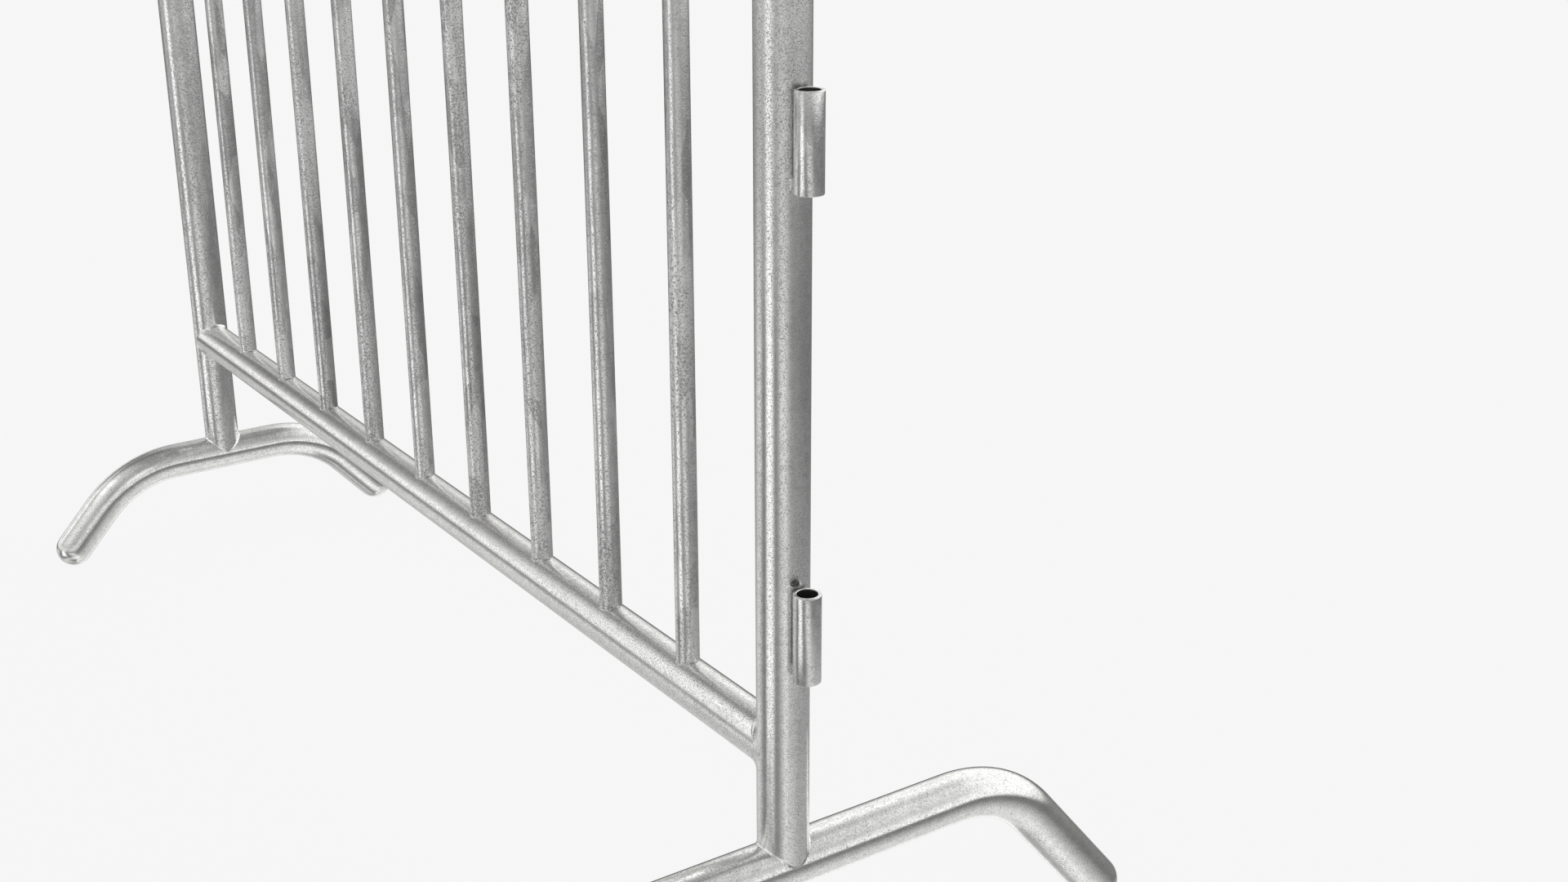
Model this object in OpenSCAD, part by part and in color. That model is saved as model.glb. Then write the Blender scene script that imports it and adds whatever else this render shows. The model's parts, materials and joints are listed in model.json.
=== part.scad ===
// Crowd control barrier in welded steel tube, hot-dip galvanised.
// Millimetres, +Z up. The origin is on the ground, midway between the two posts.
// +X is the socket end (near), -X is the hook end (far), and the feet run along Y.

/* [Frame] */
// Distance between the axes of the two posts
post_spacing = 1310; // [1000:10:2400]
// Height of the top of the frame above the ground
frame_height = 1100; // [900:10:1300]
// Outside diameter of the posts and of both rails
frame_d = 42; // [34:0.5:50]
// Wall of the posts and of both rails
frame_wall = 2; // [1.2:0.1:3]
// Bend radius of the top corners, at the tube's centre line
corner_r = 110; // [80:5:130]
// Height of the bottom rail's axis above the ground
rail_z = 269; // [230:1:330]

/* [Infill bars] */
// Number of vertical bars
bar_count = 9; // [5:1:16]
// Outside diameter of a bar
bar_d = 20; // [16:0.5:26]
// Wall of a bar
bar_wall = 1.5; // [1:0.1:3]

/* [Feet] */
// Outside diameter of the foot tubes
foot_d = 43.5; // [38:0.5:50]
// Wall of the foot tubes and of their domed ends
foot_wall = 2.5; // [1.5:0.1:3.5]
// Height of the near foot's axis under its post
near_foot_z = 165.5; // [150:0.5:180]
// Half the straight length of the near foot
near_foot_flat = 171; // [120:1:220]
// Bend radius of the near foot, at the tube's centre line
near_foot_bend_r = 123.5; // [80:0.5:150]
// Slope of the near foot's legs below the horizontal
near_foot_slope = 50; // [40:1:60]
// Height of the far foot's axis under its post
far_foot_z = 112; // [100:1:130]
// Half the straight length of the far foot
far_foot_flat = 65; // [45:1:110]
// Bend radius of the far foot, at the tube's centre line
far_foot_bend_r = 136; // [70:1:150]
// Slope of the far foot's legs below the horizontal
far_foot_slope = 48; // [42:1:55]

// How far bending draws a foot's wall in, on its outside and on its inside
bend_draw = 0.05; // [0.02:0.01:0.1]

/* [Coupling sockets and hooks] */
// Bore of a socket
socket_bore = 16; // [14:0.5:20]
// Wall of a socket
socket_wall = 3; // [2:0.5:4]
// Length of a socket
socket_length = 73; // [50:1:90]
// Height of the lower socket's bottom end above the ground
lower_socket_z = 342; // [320:1:380]
// Height of the upper socket's bottom end above the ground
upper_socket_z = 719; // [600:1:800]
// Gap all round between a hook's pin and the bore that it drops into
hook_clearance = 1; // [0.5:0.25:2]
// Straight length of a hook's pin, without its chamfered tip
hook_pin_length = 66; // [40:1:80]
// Chamfer on the tip of a hook's pin
hook_chamfer = 3; // [1:0.5:4]
// Bend radius of a hook, at the rod's centre line
hook_bend_r = 12; // [11:1:14]
// Height of a hook's bend above the rim of the socket that it drops into
hook_lift = 1; // [0:0.5:4]

/* [Joints] */
// Root gap of a welded joint, between a coped end and the tube that it meets
weld_gap = 0.1; // [0.05:0.05:0.3]

/* [Hidden] */
$fn = 96;
// Runs a cut past the face that it goes through
past = 1;
// The turn by which a foot's bend runs on into the wall of the straight tube at each end
bend_lap = 0.4;
half_spacing = post_spacing / 2;
frame_r = frame_d / 2;
bar_r = bar_d / 2;
foot_r = foot_d / 2;
socket_r = socket_bore / 2 + socket_wall;
hook_r = socket_bore / 2 - hook_clearance;
top_z = frame_height - frame_r;
corner_x = half_spacing - corner_r;
corner_z = top_z - corner_r;
// The clear gap is the same between two bars and between a post and the bar next to it
bar_gap = (post_spacing - frame_d - bar_count * bar_d) / (bar_count + 1);
bar_pitch = bar_gap + bar_d;
first_bar_x = -half_spacing + frame_r + bar_gap + bar_r;
socket_x = half_spacing + frame_r + weld_gap + socket_r;
// The pin stands as far out as the outer side of a socket does
hook_x = socket_x + socket_r - hook_r;
// A foot is [height of its axis, half its straight length, bend radius, slope of its legs]
near_foot_shape = [near_foot_z, near_foot_flat, near_foot_bend_r, near_foot_slope];
far_foot_shape = [far_foot_z, far_foot_flat, far_foot_bend_r, far_foot_slope];
tube_colour = [0.66, 0.67, 0.68];
bar_colour = [0.60, 0.61, 0.62];
foot_colour = [0.76, 0.76, 0.75];
coupling_colour = [0.55, 0.56, 0.57];

// Height of the top rail's axis at x, along its straight stretch and round its corners
function top_rail_z(x) =
    abs(x) <= corner_x ? top_z : corner_z + sqrt(corner_r * corner_r - pow(abs(x) - corner_x, 2));

// The height of the point where a foot's bend runs into its leg, on the tube's centre line
function leg_start_z(foot) = foot[0] - foot[2] * (1 - cos(foot[3]));

// A leg ends where its round tip, on the same centre, just reaches the ground
function leg_length(foot) = (leg_start_z(foot) - foot_r) / sin(foot[3]);

// A straight tube along X, from x0 to x1. With no wall it is a solid rod.
module tube_along_x(r, wall, x0, x1) {
    translate([x0, 0, 0]) rotate([0, 90, 0]) difference() {
        cylinder(r = r, h = x1 - x0);
        if (wall > 0) translate([0, 0, -past]) cylinder(r = r - wall, h = x1 - x0 + 2 * past);
    }
}

// A bend in the plane of X and Z, which starts along +X at the origin and turns down by angle.
// It runs on by lap degrees at both ends.
module bend(r, wall, bend_r, angle, lap = 0) {
    translate([0, 0, -bend_r]) rotate([90, 0, 0])
        rotate_extrude(start = 90 - angle - lap, angle = angle + 2 * lap)
            translate([bend_r, 0]) difference() {
                circle(r = r);
                if (wall > 0) circle(r = r - wall);
            }
}

// The top rail with its two corners, as a tube or, with no wall, as a solid
module top_rail_shape(r, wall) {
    translate([0, 0, top_z]) tube_along_x(r, wall, -corner_x, corner_x);
    for (side = [0, 1]) mirror([side, 0, 0])
        translate([corner_x, 0, top_z]) bend(r, wall, corner_r, 90);
}

// Puts its children where a foot's leg starts, with +X running down the leg
module at_leg_start(foot) {
    translate([foot[1], 0, foot[0] - foot[2]]) rotate([0, foot[3], 0])
        translate([0, 0, foot[2]]) children();
}

// An upright tube from z0 to z1
module upright_tube(r, wall, z0, z1) {
    translate([0, 0, z0]) difference() {
        cylinder(r = r, h = z1 - z0);
        translate([0, 0, -past]) cylinder(r = r - wall, h = z1 - z0 + 2 * past);
    }
}

// A post stands in a saddle cut to the foot below it, and carries the top rail on its end
module post(x, foot) {
    color(tube_colour) translate([x, 0, 0]) difference() {
        upright_tube(frame_r, frame_wall, foot[0], corner_z);
        translate([0, 0, foot[0]]) rotate([0, 0, 90])
            tube_along_x(foot_r + weld_gap, 0, -frame_d, frame_d);
    }
}

module near_post() { post(half_spacing, near_foot_shape); }

module far_post() { post(-half_spacing, far_foot_shape); }

// One tube bent at both corners, butt welded on top of the two posts
module top_rail() {
    color(tube_colour) top_rail_shape(frame_r, frame_wall);
}

// The bottom rail, coped at both ends to the posts
module bottom_rail() {
    color(tube_colour) difference() {
        translate([0, 0, rail_z]) tube_along_x(frame_r, frame_wall, -half_spacing, half_spacing);
        for (x = [-half_spacing, half_spacing]) translate([x, 0, rail_z - frame_d])
            cylinder(r = frame_r + weld_gap, h = 2 * frame_d);
    }
}

// One infill bar, coped to the bottom rail at its foot and to the top rail at its head
module bar(i) {
    x = first_bar_x + (i - 1) * bar_pitch;
    color(bar_colour) difference() {
        translate([x, 0, 0]) upright_tube(bar_r, bar_wall, rail_z, top_rail_z(x));
        translate([0, 0, rail_z])
            tube_along_x(frame_r + weld_gap, 0, x - bar_d, x + bar_d);
        top_rail_shape(frame_r + weld_gap, 0);
    }
}

// A foot tube, bent twice, with open ends. Bending draws the wall in a hair, so that each bend
// ends inside the wall of the straight stretch beside it.
module foot_tube(x, foot) {
    color(foot_colour) translate([x, 0, 0]) rotate([0, 0, 90]) {
        translate([0, 0, foot[0]]) tube_along_x(foot_r, foot_wall, -foot[1], foot[1]);
        for (side = [0, 1]) mirror([side, 0, 0]) {
            translate([foot[1], 0, foot[0]]) bend(
                foot_r - bend_draw, foot_wall - 2 * bend_draw, foot[2], foot[3], bend_lap
            );
            at_leg_start(foot) tube_along_x(foot_r, foot_wall, 0, leg_length(foot));
        }
    }
}

// The domed end of a leg: side 0 is the rear one, and side 1 is the front one
module foot_cap(x, foot, side) {
    color(foot_colour) translate([x, 0, 0]) rotate([0, 0, 90]) mirror([side, 0, 0])
        at_leg_start(foot) translate([leg_length(foot), 0, 0]) difference() {
            sphere(r = foot_r);
            sphere(r = foot_r - foot_wall);
            translate([-foot_d, -foot_d / 2 - past, -foot_d / 2 - past])
                cube([foot_d, foot_d + 2 * past, foot_d + 2 * past]);
        }
}

module near_foot() { foot_tube(half_spacing, near_foot_shape); }

module near_foot_front_cap() { foot_cap(half_spacing, near_foot_shape, 1); }

module near_foot_rear_cap() { foot_cap(half_spacing, near_foot_shape, 0); }

module far_foot() { foot_tube(-half_spacing, far_foot_shape); }

module far_foot_front_cap() { foot_cap(-half_spacing, far_foot_shape, 1); }

module far_foot_rear_cap() { foot_cap(-half_spacing, far_foot_shape, 0); }

// A short open tube on the outer side of the near post
module socket(z) {
    color(coupling_colour) translate([socket_x, 0, 0])
        upright_tube(socket_r, socket_wall, z, z + socket_length);
}

module upper_socket() { socket(upper_socket_z); }

module lower_socket() { socket(lower_socket_z); }

// A bent rod on the outer side of the far post, over the height of the socket at z
module hook(z) {
    pin_top = z + socket_length + hook_lift;
    arm_z = pin_top + hook_bend_r;
    color(coupling_colour) mirror([1, 0, 0]) difference() {
        union() {
            translate([0, 0, arm_z]) tube_along_x(hook_r, 0, half_spacing, hook_x - hook_bend_r);
            translate([hook_x - hook_bend_r, 0, arm_z]) bend(hook_r, 0, hook_bend_r, 90);
            translate([hook_x, 0, pin_top - hook_pin_length])
                cylinder(r = hook_r, h = hook_pin_length);
            translate([hook_x, 0, pin_top - hook_pin_length - hook_chamfer])
                cylinder(r1 = hook_r - hook_chamfer, r2 = hook_r, h = hook_chamfer);
        }
        translate([half_spacing, 0, arm_z - 2 * hook_r])
            cylinder(r = frame_r + weld_gap, h = 4 * hook_r);
    }
}

module upper_hook() { hook(upper_socket_z); }

module lower_hook() { hook(lower_socket_z); }

near_post();
far_post();
top_rail();
bottom_rail();
for (i = [1 : bar_count])
    bar(i);
near_foot();
near_foot_front_cap();
near_foot_rear_cap();
far_foot();
far_foot_front_cap();
far_foot_rear_cap();
upper_socket();
lower_socket();
upper_hook();
lower_hook();
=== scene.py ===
"""Looks of a galvanised crowd control barrier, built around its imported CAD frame."""

import json
import math
from collections import namedtuple

import bmesh
import bpy
from bpy.props import FloatProperty, FloatVectorProperty, PointerProperty
from mathutils import Euler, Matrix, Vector, noise


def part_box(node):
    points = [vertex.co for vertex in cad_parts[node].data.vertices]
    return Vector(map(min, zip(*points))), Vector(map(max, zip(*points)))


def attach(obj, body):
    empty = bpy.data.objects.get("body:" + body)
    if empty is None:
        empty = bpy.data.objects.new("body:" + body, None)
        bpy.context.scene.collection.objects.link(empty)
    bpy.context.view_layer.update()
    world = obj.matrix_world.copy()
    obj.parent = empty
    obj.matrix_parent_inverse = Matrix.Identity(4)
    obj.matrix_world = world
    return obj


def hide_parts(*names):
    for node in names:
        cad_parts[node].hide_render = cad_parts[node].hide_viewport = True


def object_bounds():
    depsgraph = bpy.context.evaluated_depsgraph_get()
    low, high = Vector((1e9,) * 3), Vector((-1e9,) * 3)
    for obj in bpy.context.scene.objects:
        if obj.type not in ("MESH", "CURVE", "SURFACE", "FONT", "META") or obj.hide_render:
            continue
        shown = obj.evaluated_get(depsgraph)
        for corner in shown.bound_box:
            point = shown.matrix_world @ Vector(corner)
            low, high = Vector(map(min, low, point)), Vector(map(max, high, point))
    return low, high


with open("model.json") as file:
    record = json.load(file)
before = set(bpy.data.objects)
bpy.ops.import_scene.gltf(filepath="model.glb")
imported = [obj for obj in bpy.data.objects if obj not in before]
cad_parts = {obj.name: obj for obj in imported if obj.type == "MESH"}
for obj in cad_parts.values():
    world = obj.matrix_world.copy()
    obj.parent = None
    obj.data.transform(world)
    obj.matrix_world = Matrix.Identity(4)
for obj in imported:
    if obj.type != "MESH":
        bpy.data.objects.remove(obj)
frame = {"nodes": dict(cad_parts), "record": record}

bl_info = {
    "name": "Galvanised crowd barrier",
    "version": (1, 0, 0),
    "blender": (4, 5, 0),
    "location": "View3D > Sidebar > Barrier",
    "description": "Finishes, swept feet, sockets, weld beads and studio of a crowd control barrier",
    "category": "Object",
}

CAD_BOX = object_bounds()
BODY = "root"
MM = 0.001
FULL_TURN = 2 * math.pi
AXIS_X, AXIS_Y, AXIS_Z = Vector((1, 0, 0)), Vector((0, 1, 0)), Vector((0, 0, 1))
BARS = sorted(name for name in frame["nodes"] if name.startswith("bar_"))
SOCKETS = ["upper_socket", "lower_socket"]
HOOKS = ["upper_hook", "lower_hook"]


# ---------------------------------------------------------------- places read from the frame


def box_centre(node):
    """Centre of a node's box."""
    low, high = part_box(node)
    return (low + high) / 2


def tube_radius(node, axis):
    """Half the width of a node's box along one axis, which is a tube's outer radius."""
    low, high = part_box(node)
    return (high[axis] - low[axis]) / 2


def bore_radius(node):
    """Radius of the bore that the record gives for a socket."""
    mounts = {mount["name"]: mount for mount in frame["record"]["mounts"]}
    return mounts[node]["dims"]["r_mm"] * MM


# ---------------------------------------------------------------- properties


class BarrierFinish(bpy.types.PropertyGroup):
    """Colours of the zinc coat."""

    zinc_light: FloatVectorProperty(
        name="Light zinc", description="Colour of the bright zinc crystals",
        default=(0.97, 0.97, 0.962), size=3, min=0, max=1, subtype="COLOR")
    zinc_dark: FloatVectorProperty(
        name="Dark zinc", description="Colour of the dull zinc between the crystals",
        default=(0.34, 0.34, 0.337), size=3, min=0, max=1, subtype="COLOR")
    # Dark colour of the real scorch mark on the near post, also used as painted shade in the crevices
    # beside the sockets and inside their bores.
    scorch_and_shade: FloatVectorProperty(
        name="Scorch and shade", description="Colour of the scorch mark and of the painted shade in crevices and bores",
        default=(0.035, 0.034, 0.033), size=3, min=0, max=1, subtype="COLOR")


class BarrierFeet(bpy.types.PropertyGroup):
    """Bends of the two feet, each one tube with domed ends."""

    near_bend: FloatProperty(
        name="Near bend radius", description="Centreline bend radius of the near foot",
        default=0.1235, min=0.06, max=0.3, unit="LENGTH")
    near_slope: FloatProperty(
        name="Near leg slope", description="How far the near foot's legs slope down",
        default=math.radians(50), min=0.3, max=1.4, subtype="ANGLE", unit="ROTATION")
    far_bend: FloatProperty(
        name="Far bend radius", description="Centreline bend radius of the far foot",
        default=0.136, min=0.06, max=0.3, unit="LENGTH")
    far_slope: FloatProperty(
        name="Far leg slope", description="How far the far foot's legs slope down",
        default=math.radians(48), min=0.3, max=1.4, subtype="ANGLE", unit="ROTATION")
    ring_step: FloatProperty(
        name="Ring step", description="Spacing of the rings along a foot",
        default=0.006, min=0.002, max=0.02, unit="LENGTH")


class BarrierWelds(bpy.types.PropertyGroup):
    """Leg lengths of the weld beads."""

    saddle_leg: FloatProperty(
        name="Saddle leg", description="Leg of the bead between a post and its foot",
        default=0.0016, min=0.0005, max=0.01, unit="LENGTH")
    near_rail_leg: FloatProperty(
        name="Near rail leg", description="Leg of the bead between the bottom rail and the near post",
        default=0.006, min=0.0005, max=0.012, unit="LENGTH")
    far_rail_leg: FloatProperty(
        name="Far rail leg", description="Leg of the bead between the bottom rail and the far post",
        default=0.0022, min=0.0005, max=0.012, unit="LENGTH")
    bar_leg: FloatProperty(
        name="Bar leg", description="Leg of the bead between a bar and a rail",
        default=0.0009, min=0.0005, max=0.006, unit="LENGTH")
    hook_leg: FloatProperty(
        name="Hook leg", description="Leg of the bead between a hook and its post",
        default=0.003, min=0.0005, max=0.008, unit="LENGTH")
    splice_width: FloatProperty(
        name="Splice width", description="Width of the butt weld between a post and the top rail",
        default=0.005, min=0.001, max=0.012, unit="LENGTH")
    socket_leg: FloatProperty(
        name="Socket leg", description="Leg of the beads between a socket and the post",
        default=0.0055, min=0.001, max=0.01, unit="LENGTH")


class BarrierStudio(bpy.types.PropertyGroup):
    """Camera and floor."""

    camera_place: FloatVectorProperty(
        name="Camera place", description="Where the camera stands",
        default=(1.7685, -0.769, 1.031), size=3, subtype="TRANSLATION", unit="LENGTH")
    camera_turn: FloatVectorProperty(
        name="Camera turn", description="How the camera is turned",
        default=(math.radians(69.566), 0, math.radians(55.334)), size=3, subtype="EULER", unit="ROTATION")
    lens: FloatProperty(
        name="Lens", description="Focal length on a 36 mm sensor",
        default=44.81, min=20, max=200, unit="CAMERA")
    floor_radius: FloatProperty(
        name="Floor radius", description="Radius of the studio floor",
        default=30.0, min=3, max=60, unit="LENGTH")
    backdrop: FloatProperty(
        name="Backdrop", description="Brightness of floor and backdrop",
        default=0.93, min=0, max=1, subtype="FACTOR")


class BarrierSettings(bpy.types.PropertyGroup):
    """All settings of the barrier."""

    finish: PointerProperty(type=BarrierFinish)
    feet: PointerProperty(type=BarrierFeet)
    welds: PointerProperty(type=BarrierWelds)
    studio: PointerProperty(type=BarrierStudio)


# ---------------------------------------------------------------- node helpers


def feed(tree, socket, value):
    """Links an input to another node's output, or sets it to a constant."""
    if isinstance(value, bpy.types.NodeSocket):
        tree.links.new(value, socket)
    else:
        socket.default_value = value


def add_node(tree, kind, inputs=None, **settings):
    """Adds a node, sets its settings, and feeds the inputs named by index or by name."""
    made = tree.nodes.new(kind)
    for key, value in settings.items():
        setattr(made, key, value)
    for key, value in (inputs or {}).items():
        feed(tree, made.inputs[key], value)
    return made


def calc(tree, operation, *values, clamp=False):
    """Output of a Math node."""
    inputs = dict(enumerate(values))
    return add_node(tree, "ShaderNodeMath", inputs, operation=operation, use_clamp=clamp).outputs[0]


def add_up(tree, *values, clamp=False):
    """Sum of values, held between 0 and 1 when clamp is on."""
    total = values[0]
    for value in values[1:-1]:
        total = calc(tree, "ADD", total, value)
    return calc(tree, "ADD", total, values[-1], clamp=clamp)


def times(tree, first, second):
    """Product of two values."""
    return calc(tree, "MULTIPLY", first, second)


def swing(tree, value, reach):
    """A value that lies near 0.5, made to swing round 0 and scaled by reach."""
    return times(tree, calc(tree, "SUBTRACT", value, 0.5), reach)


def ease(tree, value, low, high, to_low=0.0, to_high=1.0):
    """Smooth step of value from low to high."""
    inputs = {"Value": value, "From Min": low, "From Max": high, "To Min": to_low, "To Max": to_high}
    return add_node(tree, "ShaderNodeMapRange", inputs, interpolation_type="SMOOTHSTEP").outputs[0]


def blend(tree, share, first, second):
    """Mix of two colours by share. Each colour is an output or three numbers."""
    made = add_node(tree, "ShaderNodeMix", {0: share}, data_type="RGBA")
    for socket, colour in ((made.inputs[6], first), (made.inputs[7], second)):
        feed(tree, socket, colour if isinstance(colour, bpy.types.NodeSocket) else (*colour, 1))
    return made.outputs[2]


def cloud(tree, position, scale, detail=2.0, roughness=0.5, shift=0.0):
    """Noise near 0.5 with scale features per metre. A shift tells it apart from other clouds."""
    if shift:
        offset = (shift, -shift, 2 * shift)
        position = add_node(tree, "ShaderNodeVectorMath", {0: position, 1: offset}).outputs[0]
    inputs = {"Vector": position, "Scale": scale, "Detail": detail, "Roughness": roughness}
    return add_node(tree, "ShaderNodeTexNoise", inputs).outputs[0]


def cells(tree, position, scale):
    """One random value for each cell, with scale cells per metre."""
    made = add_node(tree, "ShaderNodeTexVoronoi", {"Vector": position, "Scale": scale}, feature="F1")
    return add_node(tree, "ShaderNodeSeparateColor", {0: made.outputs["Color"]}).outputs[0]


def height_of(tree, position):
    """Height above the ground of a position."""
    return add_node(tree, "ShaderNodeSeparateXYZ", {0: position}).outputs[2]


def stretched(tree, position, stretch):
    """Position divided by a stretch along each axis."""
    scale = tuple(1 / s for s in stretch)
    return add_node(tree, "ShaderNodeVectorMath", {0: position, 1: scale}, operation="MULTIPLY").outputs[0]


def make_group(name, inputs, outputs):
    """A new shader node group with named sockets, and its two end nodes."""
    group = bpy.data.node_groups.new(name, "ShaderNodeTree")
    for label, kind in inputs:
        group.interface.new_socket(name=label, in_out="INPUT", socket_type=kind)
    for label, kind in outputs:
        group.interface.new_socket(name=label, in_out="OUTPUT", socket_type=kind)
    return group, group.nodes.new("NodeGroupInput"), group.nodes.new("NodeGroupOutput")


# ---------------------------------------------------------------- shared effects


# Features per metre of each pattern in the zinc coat.
SCALES = {"grain": 500, "fine": 1300, "flecks": 900, "clouds": 16, "runs": 75, "wide_runs": 22,
          "spangle": 130, "patches": 85}
# How far each pattern moves the tone from its middle.
TONE = {"middle": 0.66, "grain": 4.4, "flecks": 0.5, "pits": -0.6, "clouds": 0.26, "wide_runs": 0.7,
        "patches": 0.45, "spangle": 0.14}
# How far each pattern moves the roughness of the bare coat.
ROUGHNESS = {"bare": 0.055, "frost": 0.09, "clouds": 0.06, "fine": 0.05}
# How far each pattern raises the surface.
RELIEF = {"grain": 0.7, "pits": -0.2, "fine": 0.10, "runs": 1.8}
# How much of the grain shows on the bare coat, and how much frost adds to it.
BARE_GRAIN_TONE, FROST_GRAIN_TONE = 0.35, 0.70
BARE_GRAIN_RELIEF, FROST_GRAIN_RELIEF = 0.40, 0.65
# Noise levels between which a pit or a fleck comes in.
PIT_EDGE = (0.47, 0.33)
FLECK_EDGE = (0.60, 0.72)


def zinc_skin_group():
    """Tone, roughness and relief of a hot-dip zinc coat. Frost makes it dull and speckled."""
    name = "zinc_skin"
    if name in bpy.data.node_groups:
        return bpy.data.node_groups[name]
    floating = "NodeSocketFloat"
    group, start, end = make_group(
        name,
        [("Position", "NodeSocketVector"), ("Run Position", "NodeSocketVector"), ("Frost", floating),
         ("Grain", floating), ("Runs", floating)],
        [("Tone", floating), ("Roughness", floating), ("Height", floating)],
    )
    place, run_place = start.outputs["Position"], start.outputs["Run Position"]
    frost, grain_share, run_share = start.outputs["Frost"], start.outputs["Grain"], start.outputs["Runs"]
    grain = cloud(group, place, SCALES["grain"], detail=4, roughness=0.8)
    fine = cloud(group, place, SCALES["fine"], detail=1, shift=3.1)
    clouds = cloud(group, place, SCALES["clouds"], detail=4, roughness=0.6, shift=7.3)
    runs = cloud(group, run_place, SCALES["runs"], detail=2, shift=1.7)
    wide_runs = cloud(group, run_place, SCALES["wide_runs"], detail=2, shift=5.9)
    spangle = cells(group, place, SCALES["spangle"])
    patch = cells(group, run_place, SCALES["patches"])
    pits = ease(group, grain, *PIT_EDGE)
    flecks = ease(group, cloud(group, place, SCALES["flecks"], detail=2, shift=8.8), *FLECK_EDGE)

    speckle = add_up(
        group, times(group, flecks, TONE["flecks"]), times(group, pits, TONE["pits"]),
        swing(group, grain, TONE["grain"]))
    speckle_share = times(
        group, grain_share, calc(group, "MULTIPLY_ADD", frost, FROST_GRAIN_TONE, BARE_GRAIN_TONE))
    tone = add_up(
        group, TONE["middle"], times(group, speckle, speckle_share), swing(group, clouds, TONE["clouds"]),
        times(group, swing(group, wide_runs, TONE["wide_runs"]), run_share),
        times(group, swing(group, patch, TONE["patches"]), run_share),
        swing(group, spangle, TONE["spangle"]), clamp=True)

    rough = add_up(
        group, calc(group, "MULTIPLY_ADD", frost, ROUGHNESS["frost"], ROUGHNESS["bare"]),
        swing(group, clouds, ROUGHNESS["clouds"]), swing(group, fine, ROUGHNESS["fine"]), clamp=True)

    bumps = add_up(group, swing(group, grain, RELIEF["grain"]), times(group, pits, RELIEF["pits"]))
    bumps = times(group, bumps, calc(group, "MULTIPLY_ADD", frost, FROST_GRAIN_RELIEF, BARE_GRAIN_RELIEF))
    relief = add_up(
        group, times(group, bumps, grain_share), swing(group, fine, RELIEF["fine"]),
        times(group, swing(group, runs, RELIEF["runs"]), run_share))
    for label, value in (("Tone", tone), ("Roughness", rough), ("Height", relief)):
        group.links.new(value, end.inputs[label])
    return group


def shade_line_group():
    """Mask of painted shade beside an upright line, between two heights. It is full within the Inner
    distance from the line and gone past the Outer one."""
    name = "dirt_line"
    if name in bpy.data.node_groups:
        return bpy.data.node_groups[name]
    floating = "NodeSocketFloat"
    group, start, end = make_group(
        name,
        [("Position", "NodeSocketVector"), ("Centre", "NodeSocketVector"), ("Inner", floating),
         ("Outer", floating), ("Bottom", floating), ("Top", floating), ("Fade", floating)],
        [("Mask", floating)],
    )
    offset = add_node(
        group, "ShaderNodeVectorMath", {0: start.outputs["Position"], 1: start.outputs["Centre"]},
        operation="SUBTRACT").outputs[0]
    x, y = add_node(group, "ShaderNodeSeparateXYZ", {0: offset}).outputs[:2]
    reach = calc(group, "SQRT", add_up(group, times(group, x, x), times(group, y, y)))
    height = height_of(group, start.outputs["Position"])
    near_line = ease(group, reach, start.outputs["Outer"], start.outputs["Inner"])
    full_from = calc(group, "ADD", start.outputs["Bottom"], start.outputs["Fade"])
    gone_from = calc(group, "ADD", start.outputs["Top"], start.outputs["Fade"])
    above = ease(group, height, start.outputs["Bottom"], full_from)
    below = ease(group, height, gone_from, start.outputs["Top"])
    mask = times(group, near_line, times(group, above, below))
    group.links.new(mask, end.inputs["Mask"])
    return group


def scorch_spot_group():
    """Mask of a small scorched spot with a ragged edge and sparks of bare zinc in it."""
    name = "scorch_spot"
    if name in bpy.data.node_groups:
        return bpy.data.node_groups[name]
    floating = "NodeSocketFloat"
    group, start, end = make_group(
        name,
        [("Position", "NodeSocketVector"), ("Centre", "NodeSocketVector"), ("Radius", floating)],
        [("Mask", floating)],
    )
    edge_scale, spark_scale = 700, 900
    spark_edge = (0.62, 0.50)
    gone_radii, full_radii = 1.7, 0.8
    place, radius = start.outputs["Position"], start.outputs["Radius"]
    ends = {0: place, 1: start.outputs["Centre"]}
    reach = add_node(group, "ShaderNodeVectorMath", ends, operation="DISTANCE").outputs["Value"]
    ragged = calc(group, "MULTIPLY_ADD", cloud(group, place, edge_scale, detail=2), radius, reach)
    spot = ease(group, ragged, times(group, radius, gone_radii), times(group, radius, full_radii))
    sparks = ease(group, cloud(group, place, spark_scale, detail=1, shift=2.0), *spark_edge)
    group.links.new(times(group, spot, sparks), end.inputs["Mask"])
    return group


# ---------------------------------------------------------------- materials


# How far frost and the darkening mask (painted shade, and the real scorch mark) change the metallic share.
FROST_METAL, DARKENING_METAL = -0.06, -0.8


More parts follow.
